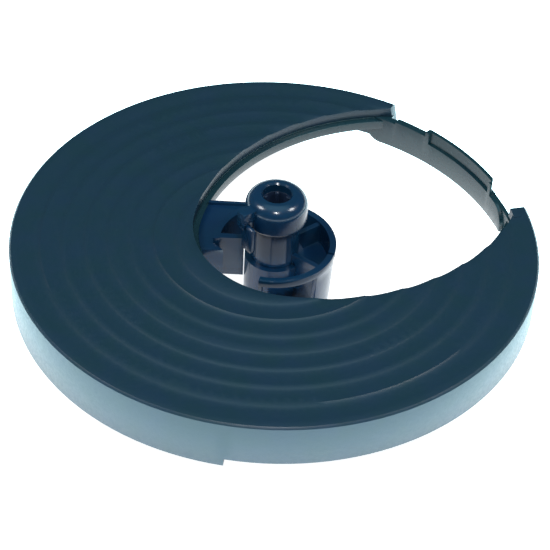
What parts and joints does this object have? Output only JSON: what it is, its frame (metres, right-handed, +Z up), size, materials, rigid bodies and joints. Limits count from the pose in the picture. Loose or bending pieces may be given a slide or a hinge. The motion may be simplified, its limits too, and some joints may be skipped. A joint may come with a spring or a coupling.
{
  "type": "food processor insert carrier disc",
  "caption": "Rippled carrier disc with a crescent opening, an insert ledge, a latch band at the rim and a splined drive hub.",
  "frame": {"origin": "on the hub axis, level with the hub's lowest rim", "axes": "+Z up along the hub axis, out of the rippled face; the opening's middle line is 38.5 degrees from +X towards +Y"},
  "size_m": [0.175, 0.175, 0.0486],
  "materials": {
    "disc_plastic": "fine matt texture, dark teal",
    "frame_plastic": "semi-gloss dark blue-green",
    "hub_plastic": "glossy dark navy",
    "bush_plastic": "satin dark navy"
  },
  "bodies": {
    "carrier": {"carrier_disc": "disc_plastic", "insert_rail": "frame_plastic", "rim_band": "frame_plastic", "hub_bracket": "hub_plastic", "drive_tower": "hub_plastic", "drive_bush": "bush_plastic", "insert_key": "hub_plastic"},
    "tongue": {"snap_tongue": "hub_plastic"}
  },
  "joints": [
    {"name": "tongue_flex", "type": "hinge", "parent": "carrier", "child": "tongue", "pos_m": [-0.00855, -0.00995, 0.04135], "axis": [-0.6293, 0.7771, 0], "range_deg": [-3, 10], "stiffness_Nm_per_rad": 0.02}
  ]
}
